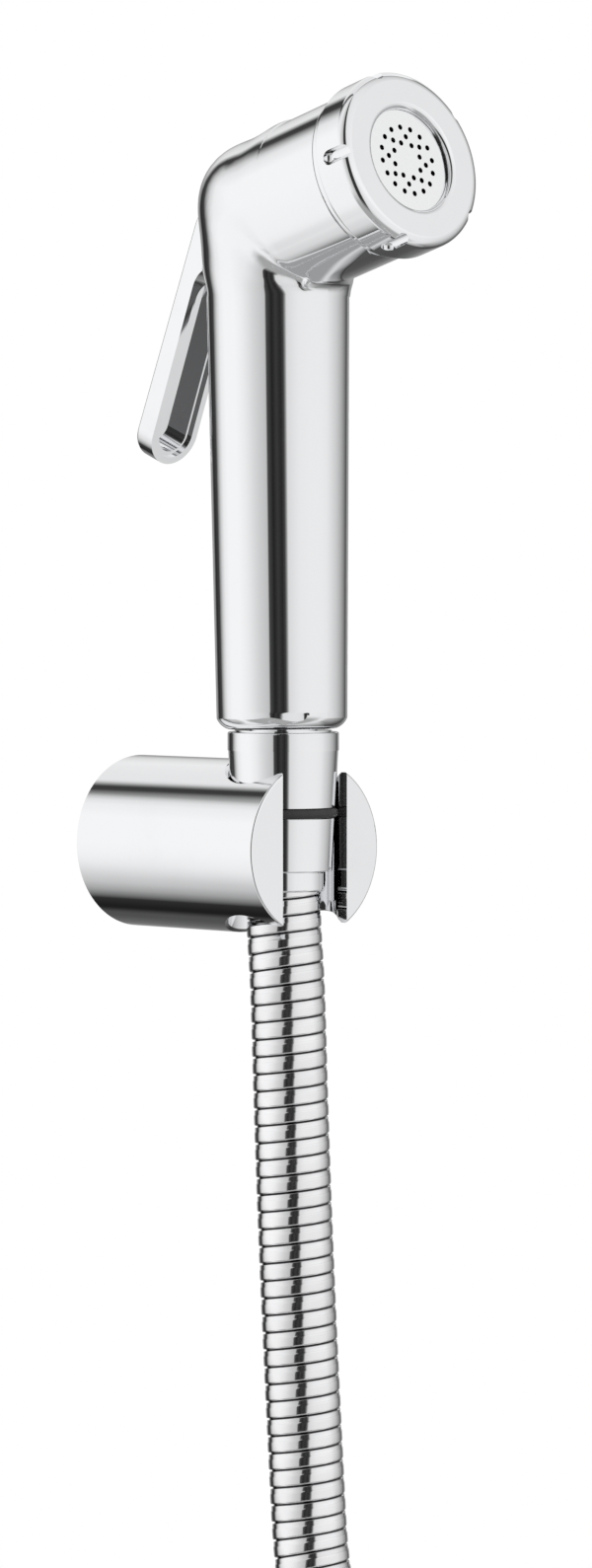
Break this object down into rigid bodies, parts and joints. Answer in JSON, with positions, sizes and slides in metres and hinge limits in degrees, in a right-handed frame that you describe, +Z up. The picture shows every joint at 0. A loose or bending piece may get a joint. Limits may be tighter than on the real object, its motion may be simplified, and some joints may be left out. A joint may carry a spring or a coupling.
{
  "type": "handheld bidet shower",
  "caption": "Chrome hand spray with a round perforated head and a rear trigger lever, hung in a cylindrical wall bracket, with a corrugated metal hose put away in a coil.",
  "frame": {"origin": "where the bracket's axis meets the wall, at the centre of the wall plate's back face", "axes": "+Z up, +Y into the wall, so the handset stands on the -Y side and sprays towards -Y and up; X across"},
  "size_m": [0.235, 0.2803, 0.4097],
  "materials": {
    "chrome": "polished",
    "hose_metal": "polished, corrugated",
    "brass": "turned",
    "steel": "satin",
    "rubber": "matte",
    "strap": "matte"
  },
  "bodies": {
    "shower": {"bracket_body": "chrome", "wall_plate": "brass", "bracket_grub_screw": "steel", "handset_body": "chrome", "head_trim_ring": "chrome", "head_bezel": "chrome", "nozzle_disc": "chrome", "nozzle_seal": "rubber", "valve_seat": "brass", "valve_gland": "brass", "gland_o_ring": "rubber", "valve_spring": "steel", "lever_pin": "steel", "inlet_nipple": "brass", "inlet_o_ring": "rubber", "cone_nut": "chrome", "cone_o_ring": "rubber", "cone_washer": "rubber", "hose_insert_top": "brass", "hose_ferrule_top": "chrome", "hose_run": "hose_metal", "hose_coil": "hose_metal", "coil_tie": "strap", "hose_insert_end": "brass", "hose_ferrule_end": "chrome"},
    "lever": {"trigger_lever": "chrome"},
    "stem": {"valve_stem": "steel", "valve_washer": "rubber"},
    "union_nut": {"end_nut": "chrome", "end_washer": "rubber"}
  },
  "joints": [
    {"name": "lever_press", "type": "hinge", "parent": "shower", "child": "lever", "pos_m": [0, -0.0322, 0.135], "axis": [-1, 0, 0], "range_deg": [0, 11], "stiffness_Nm_per_rad": 1.2, "springref_deg": -8.59},
    {"name": "stem_push", "type": "slide", "parent": "shower", "child": "stem", "axis": [0, -1, 0], "range_m": [0, 0.00175], "deforming": ["valve_spring"]},
    {"name": "end_nut_spin", "type": "hinge", "parent": "shower", "child": "union_nut", "pos_m": [-0.08137, -0.24574, -0.23273], "axis": [-0.8582, -0.5131, -0.0113], "continuous": true}
  ],
  "couplings": [
    {"joint": "stem_push", "follows": "lever_press", "m_per_rad": 0.0083}
  ]
}
